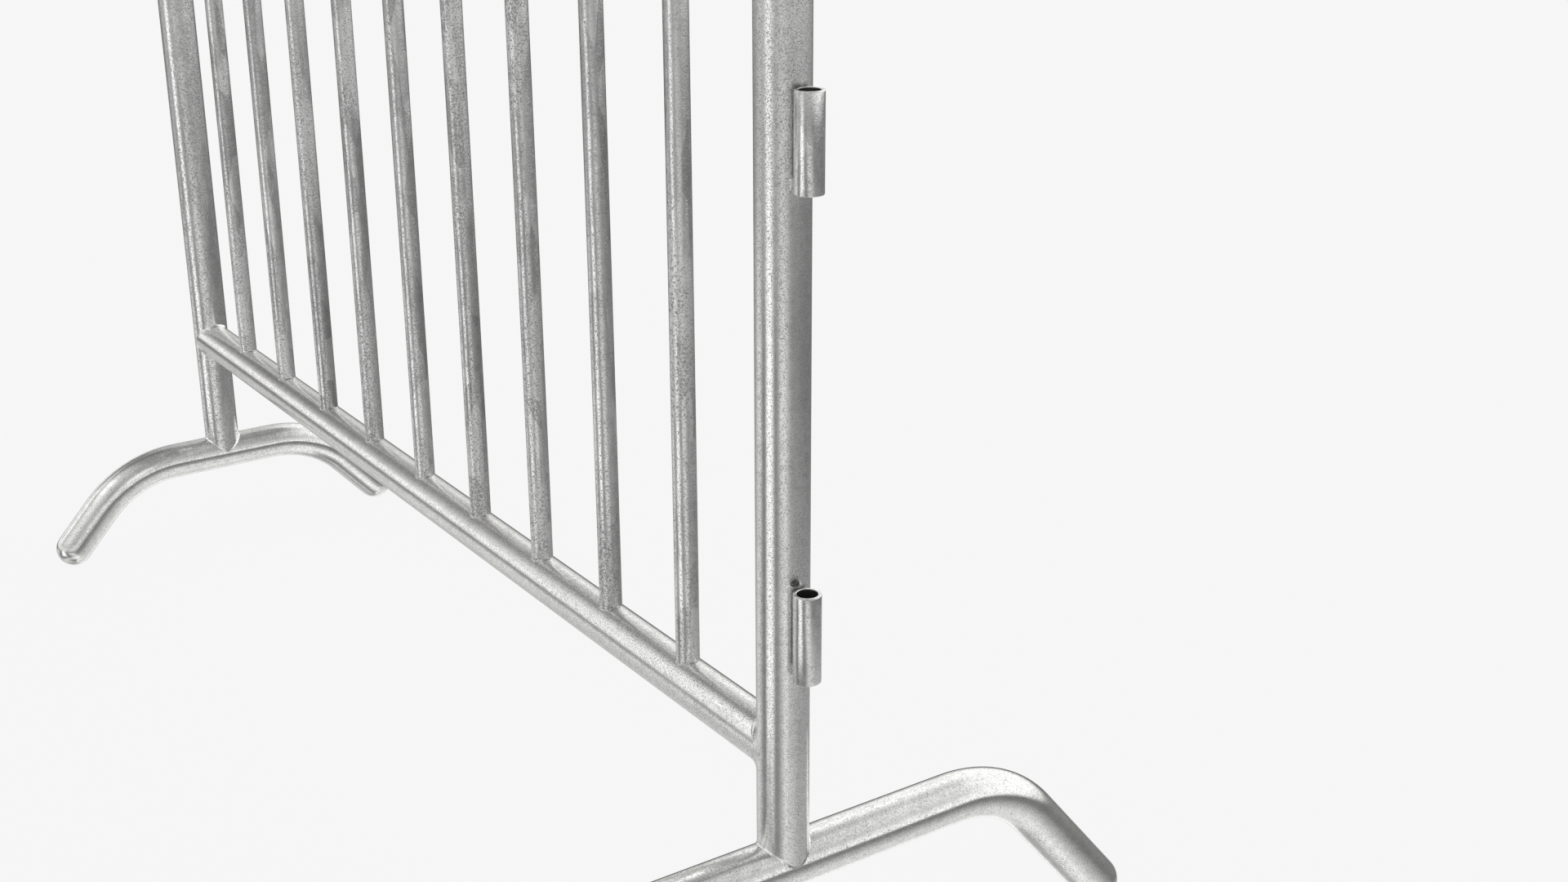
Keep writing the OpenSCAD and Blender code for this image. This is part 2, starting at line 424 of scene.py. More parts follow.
def zinc_material(name, stretch, frost, grain, grain_size, runs, relief, tint=(1, 1, 1), darken=None):
    """A hot-dip zinc finish. Stretch is how long the runs are along each axis. Frost and darken are
    functions that give the frost mask and the darkening mask, which paints shade in crevices and bores and
    holds the real scorch mark.
    Grain and runs are shares, grain_size enlarges the grain, relief is the bump distance, and tint scales
    the colour."""
    finish = bpy.context.scene.barrier.finish
    material = bpy.data.materials.new(name)
    material.use_nodes = True
    tree = material.node_tree
    shader = tree.nodes["Principled BSDF"]
    place = add_node(tree, "ShaderNodeTexCoord").outputs["Object"]
    run_place = stretched(tree, place, stretch)
    frost_mask = frost(tree, place, run_place)
    inputs = {"Position": stretched(tree, place, (grain_size, grain_size, grain_size)),
              "Run Position": run_place, "Frost": frost_mask, "Grain": grain, "Runs": runs}
    skin = add_node(tree, "ShaderNodeGroup", inputs, node_tree=zinc_skin_group())
    dark = [c * t for c, t in zip(finish.zinc_dark, tint)]
    light = [c * t for c, t in zip(finish.zinc_light, tint)]
    colour = blend(tree, skin.outputs["Tone"], dark, light)
    metal = calc(tree, "MULTIPLY_ADD", frost_mask, FROST_METAL, 1.0)
    # Painted shade in crevices and bores, and on the near post also the real scorch mark: the colour goes
    # to the scorch colour and the metal share drops.
    if darken:
        darkening = darken(tree, place)
        colour = blend(tree, darkening, colour, finish.scorch_and_shade)
        metal = calc(tree, "MULTIPLY_ADD", darkening, DARKENING_METAL, metal, clamp=True)
    inputs = {"Strength": 1.0, "Distance": relief, "Height": skin.outputs["Height"]}
    bump = add_node(tree, "ShaderNodeBump", inputs)
    tree.links.new(colour, shader.inputs["Base Color"])
    tree.links.new(metal, shader.inputs["Metallic"])
    tree.links.new(skin.outputs["Roughness"], shader.inputs["Roughness"])
    tree.links.new(bump.outputs[0], shader.inputs["Normal"])
    return material


# Each frost function gives a mask, which is made from the place and the place stretched along the runs.
# Features per metre of the drifts and patches of frost, and the noise levels at a patch's edge.
EVEN_FROST_SCALE, RISING_FROST_SCALE, FROST_PATCH_SCALE = 9, 11, 26
FROST_PATCH_EDGE = (0.47, 0.55)


def even_frost(amount, spread):
    """Frost that drifts softly round one amount."""

    def mask(tree, place, run_place):
        drift = cloud(tree, place, EVEN_FROST_SCALE, detail=3, shift=4.4)
        return add_up(tree, swing(tree, drift, spread), amount, clamp=True)

    return mask


def rising_frost(low, high, least, most):
    """Frost that grows from one height to another, broken up by clouds."""

    def mask(tree, place, run_place):
        drift = swing(tree, cloud(tree, place, RISING_FROST_SCALE, detail=3), high - low)
        return ease(tree, add_up(tree, height_of(tree, place), drift), low, high, least, most)

    return mask


def patchy_frost(least, most):
    """Frost in long patches with clear edges."""

    def mask(tree, place, run_place):
        patches = cloud(tree, run_place, FROST_PATCH_SCALE, detail=3, roughness=0.6, shift=9.2)
        return ease(tree, patches, *FROST_PATCH_EDGE, least, most)

    return mask


# Painted shade beside a socket: how far past the socket's radius it is full and gone, the share of the
# socket's length that it leaves free at the bottom, the height over which it fades at both ends, and its
# strength.
CREVICE_FULL, CREVICE_GONE = 0.5 * MM, 5.5 * MM
CREVICE_START = 0.12
CREVICE_FADE = 4 * MM
CREVICE_SHARE = 0.85
# The scorched spot: its radius, its height over the lower socket and its turn round the post.
SPOT_RADIUS = 3.2 * MM
SPOT_RISE = 6 * MM
SPOT_TURN = math.radians(-11)
# Painted shade in the bores: how far past the bore's radius it is full and gone.
BORE_SHADE_FULL, BORE_SHADE_GONE = 0.1 * MM, 0.4 * MM


def group_mask(tree, group, inputs):
    """The mask that a node group gives for some inputs."""
    return add_node(tree, "ShaderNodeGroup", inputs, node_tree=group).outputs["Mask"]


def crevice_shade_and_scorch(tree, place):
    """Painted shade in the crevice beside each socket, and the real scorched spot over the lower one."""
    crevices = []
    # Each crevice mask paints the shade between a socket and the post.
    for node in SOCKETS:
        low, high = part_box(node)
        centre = box_centre(node)
        radius = tube_radius(node, 1)
        inputs = {"Position": place, "Centre": (centre.x, centre.y, 0),
                  "Inner": radius + CREVICE_FULL, "Outer": radius + CREVICE_GONE,
                  "Bottom": low.z + CREVICE_START * (high.z - low.z), "Top": high.z, "Fade": CREVICE_FADE}
        crevices.append(group_mask(tree, shade_line_group(), inputs))
    darkening = times(tree, calc(tree, "MAXIMUM", *crevices), CREVICE_SHARE)
    post = box_centre("near_post")
    radius = tube_radius("near_post", 1)
    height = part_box("lower_socket")[1].z + SPOT_RISE
    spot = (post.x + radius * math.cos(SPOT_TURN), radius * math.sin(SPOT_TURN), height)
    inputs = {"Position": place, "Centre": spot, "Radius": SPOT_RADIUS}
    return calc(tree, "MAXIMUM", darkening, group_mask(tree, scorch_spot_group(), inputs))


def socket_bore_shade(tree, place):
    """Painted shade inside the bores of the sockets, at any height."""
    centre = box_centre(SOCKETS[0])
    bore = bore_radius(SOCKETS[0])
    inputs = {"Position": place, "Centre": (centre.x, centre.y, 0),
              "Inner": bore + BORE_SHADE_FULL, "Outer": bore + BORE_SHADE_GONE, "Bottom": 0.0, "Top": 2.0, "Fade": 0.1}
    return group_mask(tree, shade_line_group(), inputs)


def give_material(thing, material):
    """Puts one material in all slots of an object."""
    thing.data.materials.clear()
    thing.data.materials.append(material)


# ---------------------------------------------------------------- mesh helpers


def mesh_from_rings(name, rings, closed_path, start_pole=None, end_pole=None):
    """A smooth mesh through rings of points, either closed on itself or ending in two poles."""
    shape = bmesh.new()
    made = [[shape.verts.new(point) for point in ring] for ring in rings]
    pairs = list(zip(made, made[1:]))
    if closed_path:
        pairs.append((made[-1], made[0]))
    for first, second in pairs:
        for i in range(len(first)):
            j = (i + 1) % len(first)
            shape.faces.new((first[i], first[j], second[j], second[i]))
    for pole, ring in ((start_pole, made[0]), (end_pole, made[-1])):
        if pole is not None:
            tip = shape.verts.new(pole)
            for i in range(len(ring)):
                shape.faces.new((ring[i], ring[(i + 1) % len(ring)], tip))
    bmesh.ops.recalc_face_normals(shape, faces=shape.faces)
    mesh = bpy.data.meshes.new(name)
    shape.to_mesh(mesh)
    shape.free()
    for face in mesh.polygons:
        face.use_smooth = True
    thing = bpy.data.objects.new(name, mesh)
    bpy.context.scene.collection.objects.link(thing)
    return thing


def finish_piece(thing, material):
    """Gives a new piece its material and slot and rides it on the barrier."""
    give_material(thing, material)
    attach(thing, BODY)
    return thing


# ---------------------------------------------------------------- feet


def foot_line(node, bend, slope, step):
    """Points and directions along a foot from one tip centre to the other, with its radius.
    The tube is level under the post, bends down on both sides and ends on the ground."""
    low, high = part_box(node)
    radius = tube_radius(node, 0)
    crown = high.z - radius
    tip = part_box(node + "_rear_cap")[1].y - radius
    drop = bend * (1 - math.cos(slope))
    leg = (crown - drop - radius) / math.sin(slope)
    level = tip - leg * math.cos(slope) - bend * math.sin(slope)
    level_steps = round(level / step)
    half = [(level * i / level_steps, crown, 0.0) for i in range(level_steps + 1)]
    turns = round(bend * slope / step)
    for i in range(1, turns + 1):
        angle = slope * i / turns
        half.append((level + bend * math.sin(angle), crown - bend * (1 - math.cos(angle)), angle))
    bend_end_y, bend_end_z, _ = half[-1]
    legs = round(leg / step)
    for i in range(1, legs + 1):
        along = leg * i / legs
        half.append((bend_end_y + along * math.cos(slope), bend_end_z - along * math.sin(slope), slope))
    x = (low.x + high.x) / 2
    rear = [(Vector((x, y, z)), Vector((0, math.cos(a), -math.sin(a)))) for y, z, a in half]
    front = [(Vector((x, -y, z)), Vector((0, math.cos(a), math.sin(a)))) for y, z, a in reversed(half[1:])]
    return front + rear, radius


def build_foot(name, node, bend, slope, material):
    """One foot as a swept tube with domed tips."""
    step = bpy.context.scene.barrier.feet.ring_step
    line, radius = foot_line(node, bend, slope, step)
    around, dome_rings = 64, 12

    def ring(centre, along, size):
        up = along.cross(AXIS_X)
        return [centre + (AXIS_X * math.cos(t) + up * math.sin(t)) * size
                for t in (FULL_TURN * i / around for i in range(around))]

    def dome(centre, outward):
        rings = []
        for i in range(1, dome_rings):
            angle = math.pi / 2 * i / dome_rings
            along = outward if outward.y > 0 else -outward
            rings.append(ring(centre + outward * radius * math.sin(angle), along, radius * math.cos(angle)))
        return rings

    first, last = line[0], line[-1]
    front_dome = dome(first[0], -first[1])
    rear_dome = dome(last[0], last[1])
    rings = front_dome[::-1] + [ring(centre, along, radius) for centre, along in line] + rear_dome
    thing = mesh_from_rings(name, rings, False, first[0] - first[1] * radius, last[0] + last[1] * radius)
    finish_piece(thing, material)
    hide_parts(node, node + "_front_cap", node + "_rear_cap")
    return thing


# ---------------------------------------------------------------- sockets


def build_socket(name, node, material):
    """A short tube with rolled rims, turned from a closed outline."""
    low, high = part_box(node)
    centre = box_centre(node)
    outer, inner = tube_radius(node, 1), bore_radius(node)
    roll, roll_steps, around = 0.9 * MM, 4, 72
    corners = [(outer, low.z, -90), (outer, high.z, 0), (inner, high.z, 90), (inner, low.z, 180)]
    outline = []
    for radius, height, begin in corners:
        middle_r = radius - roll if radius == outer else radius + roll
        middle_z = height + roll if height == low.z else height - roll
        for i in range(roll_steps + 1):
            angle = math.radians(begin + 90 * i / roll_steps)
            outline.append((middle_r + roll * math.cos(angle), middle_z + roll * math.sin(angle)))
    axis = Vector((centre.x, centre.y, 0))
    rings = []
    for i in range(around):
        turn = FULL_TURN * i / around
        out = Vector((math.cos(turn), math.sin(turn), 0))
        rings.append([axis + out * radius + AXIS_Z * height for radius, height in outline])
    thing = mesh_from_rings(name, rings, True)
    finish_piece(thing, material)
    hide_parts(node)
    return thing


# ---------------------------------------------------------------- weld beads


Tube = namedtuple("Tube", "centre axis radius")
# How deep the edges and the root of a bead lie inside the tubes.
BEAD_SINK, BEAD_ROOT = 0.06 * MM, 0.4 * MM
# Spacing of the rings along a bead.
BEAD_STEP, SEAM_STEP = 0.9 * MM, 1.2 * MM
# Cosine past which two directions count as parallel.
PARALLEL = 0.999
# Beads of a socket: name, side, and where it begins and ends as shares of the socket's length.
SOCKET_SEAMS = (("_front_tack", 1, 0.02, 0.16), ("_rear_seam", -1, 0.04, 0.96))


def hollow_arc(first, second, root, fullness, steps=6):
    """Points from first to second on a curve that sags towards root. Fullness 0 hugs the root and 1 is
    straight."""
    control = root.lerp((first + second) / 2, fullness)
    points = []
    for i in range(steps + 1):
        t = i / steps
        points.append(first * (1 - t) ** 2 + control * (2 * t * (1 - t)) + second * t ** 2)
    return points


def way_out(point, tube):
    """Direction from a tube's axis straight out to a point, and where on the axis it starts."""
    foot = tube.centre + tube.axis * (point - tube.centre).dot(tube.axis)
    return (point - foot).normalized(), foot


def on_tube(point, tube):
    """Point moved straight out or in, to lie just under a tube's surface."""
    out, foot = way_out(point, tube)
    return foot + out * (tube.radius - BEAD_SINK)


def cope_bead(name, branch, main, leg, fullness, ripple, material):
    """Bead round a branch tube that stands square on a main tube. The two tubes are given with the same
    centre, where their axes meet."""
    side = branch.axis.cross(main.axis)
    count = max(96, round(FULL_TURN * branch.radius / BEAD_STEP))
    nudge, lump_scale, ripple_length = 0.02, 260, 1.1 * MM

    def root_at(turn):
        """Where the two surfaces meet at one turn round the branch, and the way out of the branch."""
        out = main.axis * math.cos(turn) + side * math.sin(turn)
        rise = math.sqrt(max(main.radius ** 2 - (branch.radius * math.sin(turn)) ** 2, 0.0))
        return branch.centre + out * branch.radius + branch.axis * rise, out

    rings = []
    for i in range(count):
        turn = FULL_TURN * i / count
        root, out = root_at(turn)
        tangent = (root_at(turn + nudge)[0] - root_at(turn - nudge)[0]).normalized()
        main_normal, _ = way_out(root, main)
        up_branch = tangent.cross(out)
        if up_branch.dot(branch.axis) < 0:
            up_branch.negate()
        # The leg on the main tube runs away from the branch, or, where the surfaces are parallel, opposite
        # to the leg on the branch.
        along_main = tangent.cross(main_normal)
        if along_main.dot(up_branch) > PARALLEL:
            along_main.negate()
        elif along_main.dot(out) < 0 and abs(out.dot(main_normal)) < PARALLEL:
            along_main.negate()
        wave = 1 + ripple * noise.noise(root * lump_scale)
        wave += ripple / 2 * math.sin(turn * branch.radius / ripple_length)
        first = on_tube(root + up_branch * leg * wave, branch)
        second = on_tube(root + along_main * leg * wave, main)
        inside = root - (out + main_normal) * BEAD_ROOT
        rings.append(hollow_arc(first, second, root, fullness) + [inside])
    return finish_piece(mesh_from_rings(name, rings, True), material)


def butt_bead(name, tube, width, crown, material):
    """Low bead round a tube at its centre, where two lengths of it meet end to end."""
    across = tube.axis.orthogonal().normalized()
    other = tube.axis.cross(across)
    count, steps = 160, 8
    lump, lump_scale, ripple, ripples = 0.25, 180, 0.12, 58
    edge_depth, root_depth = 0.05 * MM, 0.6 * MM
    rings = []
    for i in range(count):
        turn = FULL_TURN * i / count
        out = across * math.cos(turn) + other * math.sin(turn)
        wave = 1 + lump * noise.noise((tube.centre + out * tube.radius) * lump_scale)
        wave += ripple * math.sin(turn * ripples)
        ring = []
        for j in range(steps + 1):
            share = j / steps * 2 - 1
            rise = crown * wave * (1 - share * share) - edge_depth
            ring.append(tube.centre + tube.axis * share * width / 2 * wave + out * (tube.radius + rise))
        ring.append(tube.centre + out * (tube.radius - root_depth))
        rings.append(ring)
    return finish_piece(mesh_from_rings(name, rings, True), material)


def seam_bead(name, post, socket, bottom, top, side, leg, material):
    """Upright bead in a groove between two upright tubes that touch, tapered at both ends. Side 1 or -1
    tells the two grooves apart."""
    lump, lump_scale, fullness = 0.12, 300, 0.75
    least_share, taper_power = 0.03, 0.45
    root_inset = 0.3 * MM
    towards = (socket.centre - post.centre).normalized()
    contact = post.centre + towards * post.radius
    outward = towards.cross(AXIS_Z) * side
    root = contact + outward * root_inset
    count = max(12, round((top - bottom) / SEAM_STEP))
    rings = []
    for i in range(count + 1):
        share = i / count
        height = bottom + (top - bottom) * share
        taper = math.sin(math.pi * min(max(share, least_share), 1 - least_share)) ** taper_power
        wave = 1 + lump * noise.noise(Vector((side * 3, 0, height * lump_scale)))
        reach = leg * taper * wave
        edge = contact + outward * reach
        first = on_tube(edge - towards * reach ** 2 / (2 * post.radius), post)
        second = on_tube(edge + towards * reach ** 2 / (2 * socket.radius), socket)
        ring = [point + AXIS_Z * height for point in hollow_arc(first, second, root, fullness)]
        rings.append(ring + [root + AXIS_Z * height])
    bottom_end, top_end = [sum(ring, Vector()) / len(ring) for ring in (rings[0], rings[-1])]
    tip = AXIS_Z * root_inset
    thing = mesh_from_rings(name, rings, False, bottom_end - tip, top_end + tip)
    return finish_piece(thing, material)


# ---------------------------------------------------------------- operators


class BARRIER_OT_posts(bpy.types.Operator):
    """Galvanise the two posts"""

    bl_idname = "barrier.posts"
    bl_label = "Posts"

    def execute(self, context):
        near = zinc_material(
            "zinc_near_post", (1, 1, 9), rising_frost(0.58, 0.80, 0.10, 0.8), grain=1.2, grain_size=0.6,
            runs=0.20, relief=0.15 * MM, darken=crevice_shade_and_scorch)
        far = zinc_material(
            "zinc_far_post", (1, 1, 7), patchy_frost(0.3, 0.8), grain=1.0, grain_size=1.2, runs=0.45,
            relief=0.30 * MM)
        give_material(frame["nodes"]["near_post"], near)
        give_material(frame["nodes"]["far_post"], far)
        return {"FINISHED"}


class BARRIER_OT_rails(bpy.types.Operator):
    """Galvanise the top rail and the bottom rail"""

    bl_idname = "barrier.rails"
    bl_label = "Rails"

    def execute(self, context):
        bottom = zinc_material(
            "zinc_bottom_rail", (9, 1, 1), even_frost(0.12, 0.5), grain=1.2, grain_size=0.75, runs=0.06,
            relief=0.18 * MM, tint=(1.02, 1.015, 1.0))
        top = zinc_material(
            "zinc_top_rail", (9, 1, 1), even_frost(0.5, 0.9), grain=0.9, grain_size=0.8, runs=0.3,
            relief=0.25 * MM)
        give_material(frame["nodes"]["bottom_rail"], bottom)
        give_material(frame["nodes"]["top_rail"], top)
        return {"FINISHED"}


class BARRIER_OT_bars(bpy.types.Operator):
    """Galvanise the upright bars, with long zinc runs and frosty patches"""

    bl_idname = "barrier.bars"
    bl_label = "Bars"

    def execute(self, context):
        material = zinc_material(
            "zinc_bars", (1, 1, 4.5), patchy_frost(0.1, 0.9), grain=1.25, grain_size=0.9, runs=1.1,
            relief=0.32 * MM, tint=(0.88, 0.88, 0.88))
        for node in BARS:
            give_material(frame["nodes"][node], material)
        return {"FINISHED"}


class BARRIER_OT_feet(bpy.types.Operator):
    """Sweep the two bent feet with their domed tips"""

    bl_idname = "barrier.feet"
    bl_label = "Feet"

    def execute(self, context):
        feet = context.scene.barrier.feet
        material = zinc_material(
            "zinc_feet", (1, 4, 1), even_frost(0.12, 0.4), grain=1.1, grain_size=0.75, runs=0.03,
            relief=0.15 * MM, tint=(1.06, 1.057, 1.045))
        build_foot("near_foot_tube", "near_foot", feet.near_bend, feet.near_slope, material)
        build_foot("far_foot_tube", "far_foot", feet.far_bend, feet.far_slope, material)
        return {"FINISHED"}


class BARRIER_OT_couplings(bpy.types.Operator):
    """Turn the two sockets and galvanise the two hooks"""

    bl_idname = "barrier.couplings"
    bl_label = "Sockets and hooks"

    def execute(self, context):
        sockets = zinc_material(
            "zinc_sockets", (1, 1, 3), even_frost(0.15, 0.5), grain=0.7, grain_size=0.7, runs=0.7,
            relief=0.22 * MM, darken=socket_bore_shade)
        for node in SOCKETS:
            build_socket(node + "_tube", node, sockets)
        hooks = zinc_material(
            "zinc_hooks", (1, 1, 3), even_frost(0.3, 0.6), grain=0.7, grain_size=0.8, runs=0.5,
            relief=0.25 * MM)
        for node in HOOKS:
            give_material(frame["nodes"][node], hooks)
        return {"FINISHED"}


class BARRIER_OT_welds(bpy.types.Operator):
    """Run the weld beads at every joint"""

    bl_idname = "barrier.welds"
    bl_label = "Weld beads"

    def execute(self, context):
        welds = context.scene.barrier.welds
        bright = zinc_material(
            "zinc_welds", (1, 1, 1), even_frost(0.15, 0.4), grain=0.7, grain_size=0.8, runs=0.2,
            relief=0.3 * MM, tint=(1.08, 1.08, 1.08))
        # The beads where the bars meet the rails are tinted darker than the other welds, as painted shade
        # in those joints.
        dull = zinc_material(
            "zinc_bar_welds", (1, 1, 1), even_frost(0.8, 0.4), grain=0.9, grain_size=0.8, runs=0.2,
            relief=0.3 * MM, tint=(0.66, 0.66, 0.65))
        rail_z, rail_radius = box_centre("bottom_rail").z, tube_radius("bottom_rail", 2)
        top_radius = tube_radius("top_rail", 1)
        top_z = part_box("top_rail")[1].z - top_radius
        posts = (("near", -AXIS_X, welds.near_rail_leg), ("far", AXIS_X, welds.far_rail_leg))
        for side, inward, rail_leg in posts:
            x, radius = box_centre(side + "_post").x, tube_radius(side + "_post", 1)
            foot_radius = tube_radius(side + "_foot", 0)
            crown = Vector((x, 0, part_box(side + "_foot")[1].z - foot_radius))
            cope_bead(side + "_saddle_weld", Tube(crown, AXIS_Z, radius), Tube(crown, AXIS_Y, foot_radius),
                      welds.saddle_leg, fullness=0.9, ripple=0.15, material=bright)
            joint = Vector((x, 0, rail_z))
            cope_bead(side + "_rail_weld", Tube(joint, inward, rail_radius), Tube(joint, AXIS_Z, radius),
                      rail_leg, fullness=0.2, ripple=0.05, material=bright)
            splice = Vector((x, 0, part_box(side + "_post")[1].z))
            butt_bead(side + "_splice_weld", Tube(splice, AXIS_Z, radius), welds.splice_width,
                      crown=0.55 * MM, material=bright)
        rails = (("_foot_weld", AXIS_Z, rail_z, rail_radius), ("_head_weld", -AXIS_Z, top_z, top_radius))
        for node in BARS:
            for label, along, height, main_radius in rails:
                joint = Vector((box_centre(node).x, 0, height))
                bar = Tube(joint, along, tube_radius(node, 1))
                cope_bead(node + label, bar, Tube(joint, AXIS_X, main_radius), welds.bar_leg,
                          fullness=0.7, ripple=0.2, material=dull)
        far_x, far_radius = box_centre("far_post").x, tube_radius("far_post", 1)
        for node in HOOKS:
            arm_radius = tube_radius(node, 1)
            joint = Vector((far_x, 0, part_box(node)[1].z - arm_radius))
            cope_bead(node + "_weld", Tube(joint, -AXIS_X, arm_radius), Tube(joint, AXIS_Z, far_radius),
                      welds.hook_leg, fullness=0.7, ripple=0.2, material=bright)
        post = Tube(Vector((box_centre("near_post").x, 0, 0)), AXIS_Z, tube_radius("near_post", 1))
        for node in SOCKETS:
            low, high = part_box(node)
            length = high.z - low.z
            socket = Tube(Vector((box_centre(node).x, 0, 0)), AXIS_Z, tube_radius(node, 1))
            for label, side, bottom, top in SOCKET_SEAMS:
                seam_bead(node + label, post, socket, low.z + bottom * length, low.z + top * length, side,
                          welds.socket_leg, bright)
        return {"FINISHED"}


# ---------------------------------------------------------------- studio


# Width of the camera's sensor in mm, and how far the camera sees in m.
SENSOR_WIDTH, CLIP_END = 36, 200
# Colour of the floor, which mostly glows, and the brightness that the world's light adds to the glow.
FLOOR_GREY, FLOOR_LIT = 0.04, 0.034
# Light that the metal reflects: at each elevation in degrees, pairs of azimuth in degrees and brightness.
LIGHT_RINGS = [
    (-68, [(-180, 0.40), (-150, 0.38), (-120, 0.60), (-100, 0.68), (-60, 0.30), (-20, 0.28), (2, 0.50),
           (18, 1.10), (45, 0.90), (90, 0.76), (130, 0.80), (160, 0.50)]),
    (-50, [(-180, 0.70), (-90, 0.85), (-55, 0.60), (-20, 1.05), (10, 1.15), (22, 0.80), (60, 0.76),
           (95, 0.76), (120, 1.08), (150, 1.18), (170, 0.75)]),
    (-37, [(-180, 0.60), (-160, 0.62), (-140, 0.48), (-115, 0.20), (-100, 0.12), (-85, 0.22),
           (-60, 0.28), (-45, 0.32), (-20, 0.88), (10, 0.95), (35, 0.55), (60, 0.60), (110, 0.60),
           (140, 0.80), (170, 0.60)]),
    (-28, [(-180, 0.60), (-160, 0.82), (-140, 0.50), (-122, 0.20), (-112, 0.24), (-101, 1.20),
           (-77, 1.15), (-64, 0.22), (-50, 0.27), (-20, 0.90), (0, 0.50), (50, 0.40), (110, 0.38),
           (140, 0.55), (170, 0.50)]),
    (-18, [(-180, 0.30), (-150, 0.88), (-136, 0.84), (-122, 0.24), (-109, 0.22), (-98, 1.32),
           (-81, 1.34), (-69, 0.20), (-57, 0.25), (-40, 1.00), (-22, 0.82), (0, 0.29), (60, 0.22),
           (110, 0.22), (160, 0.18)]),
    (-9, [(-180, 0.14), (-160, 0.20), (-140, 0.30), (-128, 0.58), (-118, 0.42), (-105, 0.30),
          (-96, 1.38), (-87, 1.38), (-77, 0.36), (-50, 0.55), (-35, 0.52), (-20, 0.38), (0, 0.19),
          (60, 0.18), (85, 0.23), (105, 0.30), (118, 0.14), (160, 0.12)]),
    (-6.5, [(-180, 0.13), (-140, 0.22), (-128, 0.50), (-106, 0.34), (-95, 1.35), (-88, 1.35),
            (-77, 0.34), (-35, 0.30), (-20, 0.22), (0, 0.18), (40, 0.30), (60, 0.20), (110, 0.15),
            (160, 0.13)]),
    (-3.5, [(-180, 1.00), (-150, 0.90), (-130, 0.80), (-110, 0.60), (-98, 0.85), (-84, 1.00),
            (-70, 0.42), (-40, 0.40), (-15, 0.42), (6, 1.00), (30, 1.15), (60, 1.15), (105, 0.95),
            (125, 0.62), (150, 0.34)]),
    (3, [(-180, 1.10), (-150, 1.15), (-130, 0.98), (-98, 0.85), (-60, 0.65), (-20, 0.75), (0, 1.10),
         (22, 0.90), (40, 1.15), (60, 1.28), (120, 1.15), (140, 0.75), (160, 0.60)]),
    (9, [(-180, 0.95), (-150, 1.05), (-120, 0.95), (-60, 0.75), (-10, 0.90), (5, 0.90), (20, 0.60),
         (34, 1.05), (60, 1.38), (128, 1.35), (147, 0.65), (165, 0.68)]),
    (15, [(-180, 0.30), (-165, 0.32), (-154, 0.45), (-142, 1.00), (-120, 0.85), (-60, 0.70),
          (-20, 0.55), (0, 1.10), (12, 0.80), (22, 0.50), (36, 0.95), (60, 1.32), (128, 1.30),
          (145, 1.15), (160, 0.60)]),
    (23, [(-180, 0.17), (-166, 0.18), (-155, 0.45), (-146, 1.32), (-132, 1.25), (-115, 0.60),
          (-100, 0.58), (-60, 0.70), (-20, 0.30), (-5, 1.35), (8, 1.20), (20, 0.45), (38, 0.68),
          (50, 1.10), (90, 1.22), (130, 1.22), (150, 1.10), (165, 0.38)]),
    (35, [(-180, 0.26), (-162, 0.48), (-150, 1.05), (-138, 1.05), (-120, 0.52), (-104, 0.80),
          (-80, 1.00), (-60, 0.82), (-30, 0.48), (-10, 0.50), (15, 0.34), (40, 0.80), (60, 1.10),
          (90, 1.22), (130, 1.28), (146, 0.90), (170, 0.60)]),
    (50, [(-180, 0.36), (-160, 0.26), (-140, 0.34), (-118, 0.90), (-105, 1.50), (-80, 1.45),
          (-62, 0.85), (-30, 0.50), (0, 0.34), (20, 0.28), (45, 0.68), (60, 0.95), (90, 1.00),
          (120, 1.10), (140, 1.25), (155, 0.50)]),
    (65, [(-180, 0.18), (-150, 0.22), (-100, 0.80), (-60, 0.60), (0, 0.36), (25, 0.24), (60, 0.30),
          (90, 0.36), (130, 0.36), (150, 0.22)]),
    (80, [(-180, 0.32)]),
]


def ring_light(tree, azimuth, stops):
    """Brightness round the studio at one elevation."""
    made = add_node(tree, "ShaderNodeValToRGB", {0: azimuth})
    ramp = made.color_ramp
    ramp.elements.remove(ramp.elements[-1])
    ramp.elements[0].position = 0
    for degrees, _ in stops[1:]:
        ramp.elements.new((degrees + 180) / 360)
    ramp.elements.new(1.0)
    for element, level in zip(ramp.elements, [level for _, level in stops] + [stops[0][1]]):
        element.color = (level, level, level, 1)
    return made.outputs[0]


def studio_world(backdrop):
    """A plain backdrop whose reflections are panels of light and shade standing round the object."""
    world = bpy.data.worlds.new("studio_world")
    world.use_nodes = True
    tree = world.node_tree
    tree.nodes.clear()
    way = add_node(tree, "ShaderNodeTexCoord").outputs["Generated"]
    x, y, z = add_node(tree, "ShaderNodeSeparateXYZ", {0: way}).outputs
    azimuth = calc(tree, "MULTIPLY_ADD", calc(tree, "ARCTAN2", y, x), 1 / FULL_TURN, 0.5)
    elevation = calc(tree, "MULTIPLY", calc(tree, "ARCSINE", z), 180 / math.pi)
    light = ring_light(tree, azimuth, LIGHT_RINGS[0][1])
    for (low, _), (high, stops) in zip(LIGHT_RINGS, LIGHT_RINGS[1:]):
        light = blend(tree, ease(tree, elevation, low, high), light, ring_light(tree, azimuth, stops))
    panels = add_node(tree, "ShaderNodeBackground", {"Color": light, "Strength": 1.0})
    grey = (backdrop, backdrop, backdrop, 1)
    plain = add_node(tree, "ShaderNodeBackground", {"Color": grey, "Strength": 1.0})
    seen = add_node(tree, "ShaderNodeLightPath").outputs["Is Camera Ray"]
    mixed = add_node(tree, "ShaderNodeMixShader", {0: seen, 1: panels.outputs[0], 2: plain.outputs[0]})
    output = tree.nodes.new("ShaderNodeOutputWorld")
    tree.links.new(mixed.outputs[0], output.inputs[0])
    return world


